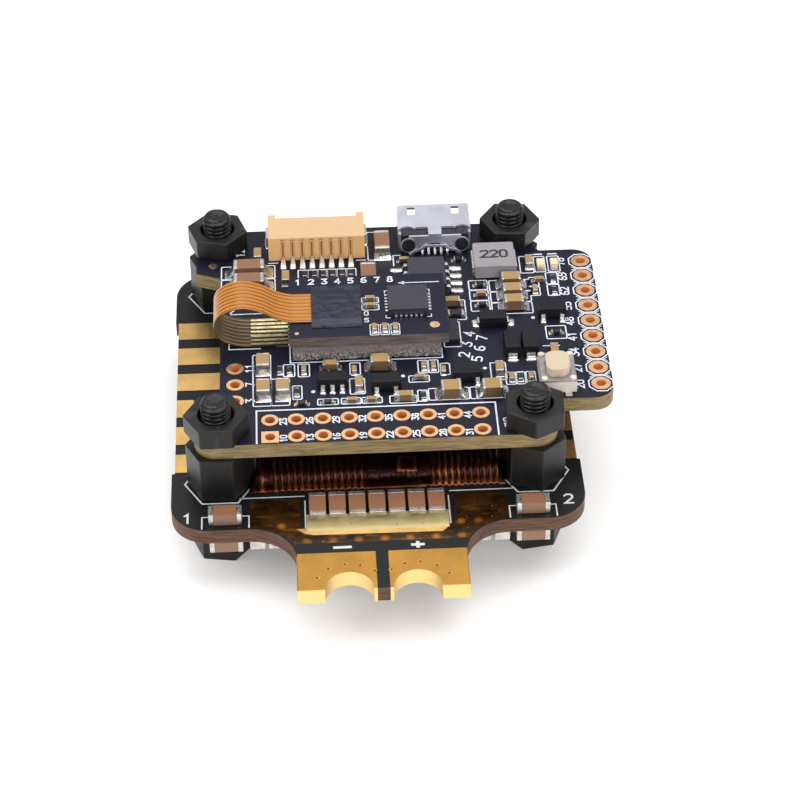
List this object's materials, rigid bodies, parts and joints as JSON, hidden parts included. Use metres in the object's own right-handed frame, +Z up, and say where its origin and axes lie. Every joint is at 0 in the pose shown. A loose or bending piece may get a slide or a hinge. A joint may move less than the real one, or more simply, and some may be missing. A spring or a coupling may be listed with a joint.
{
  "type": "flight controller board",
  "caption": "Stacked flight controller and motor driver boards on threaded nylon standoffs, with a foam-mounted motion sensor, ribbon cable, sockets and solder pads.",
  "frame": {"origin": "centre of the square mounting pattern, on the bottom faces of the four lower standoffs", "axes": "+Z up out of the top board, -Y towards the battery lands, +Y towards the plug and USB sockets, +X towards the row of side pads"},
  "size_m": [0.0434, 0.0502, 0.0191],
  "materials": {
    "amber_film": "glossy polyimide",
    "black_nylon": "moulded, slightly glossy",
    "button_cream": "moulded",
    "button_steel": "stamped",
    "button_white": "moulded",
    "capacitor_ceramic": "unglazed",
    "crystal_can": "stamped lid",
    "ferrite": "moulded powder core",
    "flex_orange": "polyimide over copper traces",
    "flight_board_mask": "satin navy-black solder mask over glass laminate",
    "foam": "open cell, speckled",
    "gold_copper": "immersion gold over copper",
    "led_lens": "milky resin",
    "motor_board_mask": "satin charcoal solder mask over glass laminate",
    "moulded_black": "moulded epoxy",
    "plated_land": "thick gold plating",
    "plug_plastic": "natural nylon",
    "resistor_ceramic": "glassy top coat",
    "sensor_black": "moulded epoxy",
    "sensor_board_mask": "satin navy-black solder mask over glass laminate",
    "tape_dark": "satin adhesive tape",
    "tin_ends": "matte tin with bright solder",
    "tin_leads": "bright tin",
    "usb_plastic": "moulded",
    "usb_steel": "nickel plated"
  },
  "bodies": {
    "stack": {"battery_negative_pad": "plated_land", "battery_positive_pad": "plated_land", "button_base": "button_white", "button_dome": "button_steel", "button_feet": "tin_leads", "button_frame": "button_steel", "clock_crystal": "crystal_can", "diode_leads": "tin_leads", "diodes": "moulded_black", "esc_board": "motor_board_mask", "fc_board": "flight_board_mask", "flash_memory": "moulded_black", "flash_memory_leads": "tin_leads", "flex_ribbon": "flex_orange", "gate_driver_leads": "tin_leads", "gate_drivers": "moulded_black", "header_pads": "gold_copper", "imu_foam": "foam", "inductor_core": "ferrite", "inductor_terminals": "tin_leads", "insulating_film": "amber_film", "large_capacitor_ends": "tin_ends", "large_capacitors": "capacitor_ceramic", "left_pads": "gold_copper", "lower_standoffs": "black_nylon", "main_processor": "moulded_black", "main_processor_leads": "tin_leads", "medium_capacitor_ends": "tin_ends", "medium_capacitors": "capacitor_ceramic", "motor_capacitor_ends": "tin_ends", "motor_capacitors": "capacitor_ceramic", "motor_pads": "gold_copper", "motor_processors": "moulded_black", "plug_contacts": "tin_leads", "plug_housing": "plug_plastic", "plug_tabs": "tin_leads", "power_transistors": "moulded_black", "regulator_leads": "tin_leads", "regulators": "moulded_black", "resistor_ends": "tin_ends", "resistors": "resistor_ceramic", "ribbon_solder_pads": "plated_land", "side_pads": "gold_copper", "small_capacitor_ends": "tin_ends", "small_capacitors": "capacitor_ceramic", "status_led_ends": "tin_ends", "status_leds": "led_lens", "top_nuts": "black_nylon", "upper_standoffs": "black_nylon", "usb_contacts": "gold_copper", "usb_insert": "usb_plastic", "usb_shell": "usb_steel"},
    "sensor_board": {"imu_board": "sensor_board_mask", "imu_capacitor_ends": "tin_ends", "imu_capacitors": "capacitor_ceramic", "imu_sensor": "sensor_black", "imu_sensor_contacts": "tin_leads", "imu_tape": "tape_dark"},
    "boot_button": {"button_plunger": "button_cream"}
  },
  "joints": [
    {"name": "button_press", "type": "slide", "parent": "stack", "child": "boot_button", "axis": [0, 0, -1], "range_m": [0, 0.00025], "stiffness_N_per_m": 8, "springref_m": -0.0001, "deforming": ["button_dome"]},
    {"name": "sensor_float", "type": "slide", "parent": "stack", "child": "sensor_board", "axis": [0, 0, -1], "range_m": [-0.0001, 0.0004], "stiffness_N_per_m": 250, "deforming": ["imu_foam", "flex_ribbon"]}
  ]
}
